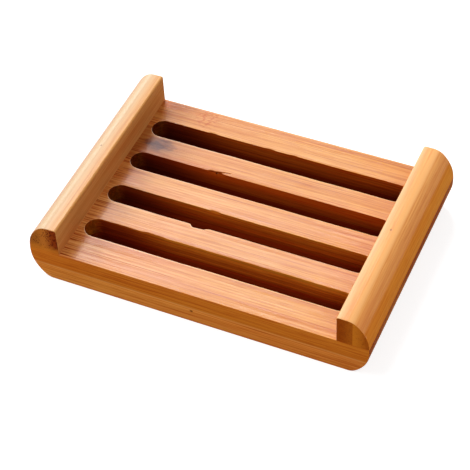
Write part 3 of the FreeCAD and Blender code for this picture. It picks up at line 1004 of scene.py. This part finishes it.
def draw_right_crown(wood, colour):
    """The colour of the right rail with a painted highlight on its brow and its warm crest."""
    tree = wood.tree
    from_middle = magnitude(tree, wood.spot["X"])
    brow = ramp(tree, from_middle, *BROW_RANGE, 1.0, 0.0)
    colour = mix_colours(tree, product(tree, brow, wood.on_top), colour, BROW_HIGHLIGHT)
    from_crest = gap(tree, from_middle, RAIL_JOINT - CREST_WIDTH / 2)
    crest = ramp(tree, from_crest, CREST_WIDTH / 4, CREST_WIDTH, CREST_SHARE, 0.0)
    return mix_colours(tree, product(tree, crest, wood.on_top), colour, WARM_CREST)


# %% [markdown]
# ## Lacquer
# The dish was lacquered once, thinly, so the fibres still stand out of the surface and break up what
# is mirrored in it. That is a bump map made of the threads, with fine hairs and a slow ripple. The
# ends and steep sides of the rails, and all but the tops of the strips, drank the lacquer and stay
# dull. So every piece has two finishes with the same pattern, and each face gets one by the way that
# it looks.

# %% Lacquer a finish
STRIP_BUMP = 0.04 * MM
LEAF_BUMP = 0.008 * MM
BUMP_STRENGTH = 0.5
RIPPLE, RIPPLE_HEIGHT = Stretch(0.3, 1.6, 1), 0.6
HAIRS, HAIR_HEIGHT = Stretch(0.05, 6.5, 2), 0.4
THREAD_DEPTH = 0.6
GLOSSY, DULL = range(2)
REFLECTION = {GLOSSY: 0.12, DULL: 0.006}
ROUGHNESS = {GLOSSY: 0.19, DULL: 0.50}
ROUGHNESS_LEVELS = (0.3, 0.7)
ROUGHNESS_RANGE = 0.10
LEAF_ROUGHER = 0.05
LACQUER_IOR = 1.5


def lacquer(wood, colour, threads, sheen):
    """The finished surface."""
    tree = wood.tree
    ripple = stretched_noise(tree, wood.place, *RIPPLE)
    hairs = stretched_noise(tree, wood.place, *HAIRS)
    hair_height = product(tree, hairs, HAIR_HEIGHT)
    height = calculate(tree, "ADD", hair_height, product(tree, ripple, RIPPLE_HEIGHT))
    height = calculate(tree, "SUBTRACT", height, product(tree, threads, THREAD_DEPTH))
    depth = STRIP_BUMP if wood.grain == "X" else LEAF_BUMP
    bump = new_node(tree, "Bump", {"Strength": BUMP_STRENGTH, "Distance": depth, "Height": height})
    smooth = ROUGHNESS[sheen] + (0.0 if wood.grain == "X" else LEAF_ROUGHER)
    roughness = ramp(tree, hairs, *ROUGHNESS_LEVELS, smooth, smooth + ROUGHNESS_RANGE)
    surface = new_node(tree, "BsdfPrincipled", {
        "Base Color": colour,
        "Roughness": roughness,
        "Normal": bump.outputs[0],
        "IOR": LACQUER_IOR,
        "Specular IOR Level": REFLECTION[sheen],
    })
    new_node(tree, "OutputMaterial", {"Surface": surface.outputs[0]})


# %% Put the finishes of strips and leaves together


def strip_colour(wood, node):
    """The colour of a strip, and its threads."""
    upper = node in UPPER_STRIPS
    tone = UPPER_TONE if upper else LOWER_TONE
    colour, threads = fibres(wood, tone)
    walls = slot_walls(wood)
    sides = calculate(wood.tree, "SUBTRACT", wood.upright, walls)
    colour = darken(wood.tree, sides, colour, tone.side)
    colour = end_grain(wood, colour, tone, skin_of(wood, node))
    colour = paint_wall_shade(wood, colour, walls, UPPER_WALL_SHADE if upper else LOWER_WALL_SHADE)
    if node in STAINS:
        colour = draw_stain(wood, colour, STAINS[node])
    if upper:
        colour = paint_corner_shade(wood, colour)
        colour = paint_edge_highlight(wood, colour, node)
        colour = paint_sheen_falloff(wood, colour, node)
    colour = draw_glue_line(wood, colour)
    if node in KNUCKLES:
        colour = draw_knuckle(wood, colour, KNUCKLES[node])
    return colour, threads


def leaf_colour(wood, node):
    """The colour of a rail's leaf, and its threads."""
    is_right = "right" in node
    tone = RIGHT_RAIL_TONE if is_right else LEFT_RAIL_TONE
    colour, threads = fibres(wood, tone)
    colour = darken(wood.tree, wood.upright, colour, tone.side)
    colour = end_grain(wood, colour, tone, skin_of(wood, node))
    draw_crown = draw_right_crown if is_right else draw_left_crown
    return draw_crown(wood, colour), threads


def finish(node, number, sheen):
    """The bamboo of one piece."""
    name = f"{node}_{'glossy' if sheen == GLOSSY else 'dull'}"
    material, wood = start_wood(name, "Y" if "leaf" in node else "X", number)
    colour, threads = leaf_colour(wood, node) if "leaf" in node else strip_colour(wood, node)
    if node in FLECKS:
        colour = draw_fleck(wood, colour, FLECKS[node])
    lacquer(wood, colour, threads, sheen)
    return material


# %% Finish every piece
END_NORMAL, STEEP_NORMAL, TOP_NORMAL = 0.9, 0.85, 0.3


def is_dull(face, node):
    """Whether a face is an end or a steep side of a rail, or any but the top of a strip."""
    if "leaf" in node:
        return abs(face.normal.y) > END_NORMAL or abs(face.normal.x) > STEEP_NORMAL
    return face.normal.z < TOP_NORMAL


for number, (node, piece) in enumerate(pieces.items(), start=1):
    piece.data.materials.clear()
    for sheen in (GLOSSY, DULL):
        piece.data.materials.append(finish(node, number, sheen))
    for face in piece.data.polygons:
        face.material_index = DULL if is_dull(face, node) else GLOSSY
print("Bamboo on", len(pieces), "pieces")

# %% [markdown]
# ## Joining the frame
# Every new piece stands in for the solid of the same name, and all of them move as one body, because
# the dish is glued up and nothing on it turns or slides.

# %% Tie the pieces to the frame
for node, piece in pieces.items():
    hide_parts(node)
    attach(piece, "root")
    if node in UPPER_STRIPS:
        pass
    elif node in LOWER_STRIPS:
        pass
    else:
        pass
print(len(pieces), "pieces tied to the frame")

# %% [markdown]
# ## The studio
# The dish was photographed on white. A pale floor takes its shadow, and for the camera it shines a
# little of its own light, so that it reads as white without lighting the dish more. Four soft panels
# light the dish. The main one, behind and to the left, puts a sheen on the bars beside the left rail
# and leaves the front in shade. One from the front right fills that shade, a low one from the left
# lights the left rail, and a small one behind it brightens the crowns.

# %% Lay the floor
scene = bpy.context.scene
scene.view_settings.view_transform = "Standard"

FLOOR_SIZE = 6.0
FLOOR_GAP = 0.02 * MM
FLOOR_GREY = (0.5, 0.5, 0.5, 1)
FLOOR_GLOW = 0.72

bpy.ops.object.select_all(action="DESELECT")
bpy.ops.mesh.primitive_plane_add(size=FLOOR_SIZE, location=(0, 0, -FLOOR_GAP))
floor = bpy.context.object
floor.name = "floor"


def seen_directly(tree):
    """One for camera, glossy and transmission rays, and nought for light that is on its way."""
    path = new_node(tree, "LightPath").outputs
    seen = calculate(tree, "MAXIMUM", path["Is Camera Ray"], path["Is Glossy Ray"])
    return calculate(tree, "MAXIMUM", seen, path["Is Transmission Ray"])


paper = bpy.data.materials.new("white_paper")
paper.use_nodes = True
tree = paper.node_tree
tree.nodes.clear()
matt = new_node(tree, "BsdfDiffuse", {"Color": FLOOR_GREY})
glow = new_node(tree, "Emission", {"Strength": product(tree, seen_directly(tree), FLOOR_GLOW)})
both = new_node(tree, "AddShader", {0: matt.outputs[0], 1: glow.outputs[0]})
new_node(tree, "OutputMaterial", {"Surface": both.outputs[0]})
floor.data.materials.append(paper)
print(f"Floor {FLOOR_SIZE:.0f} m wide")

# %% Set the background
WHITE = (1, 1, 1, 1)
WORLD_LIGHT = 0.30

world = bpy.data.worlds.new("studio")
world.use_nodes = True
scene.world = world
tree = world.node_tree
tree.nodes.clear()
sky_level = calculate(tree, "MAXIMUM", seen_directly(tree), WORLD_LIGHT)
sky = new_node(tree, "Background", {"Color": WHITE, "Strength": sky_level})
new_node(tree, "OutputWorld", {"Surface": sky.outputs[0]})
print(f"White background that lights the dish at {WORLD_LIGHT:.2f}")

# %% Hang the panels
PANEL_DISTANCE = 1.2


def add_panel(name, around, above, size, brightness):
    """A soft panel that faces the dish. A brightness of 1 is as bright as white paper."""
    around, above = math.radians(around), math.radians(above)
    towards_panel = Vector((
        math.cos(around) * math.cos(above),
        math.sin(around) * math.cos(above),
        math.sin(above),
    ))
    bpy.ops.object.light_add(type="AREA", location=towards_panel * PANEL_DISTANCE)
    panel = bpy.context.object
    panel.name = name
    panel.rotation_euler = towards_panel.to_track_quat("Z", "Y").to_euler()
    panel.data.shape = "RECTANGLE"
    panel.data.size, panel.data.size_y = size
    panel.data.energy = brightness * math.pi * size[0] * size[1]
    print(f"{name}: {panel.data.energy:.1f} W")


add_panel("sheen_panel", around=122, above=49.3, size=(0.48, 0.21), brightness=34.5)
add_panel("front_panel", around=-30, above=50, size=(0.7, 0.7), brightness=2.9)
add_panel("left_panel", around=200, above=25, size=(0.6, 0.6), brightness=5.2)
add_panel("crown_panel", around=139, above=24, size=(0.4, 0.3), brightness=9)
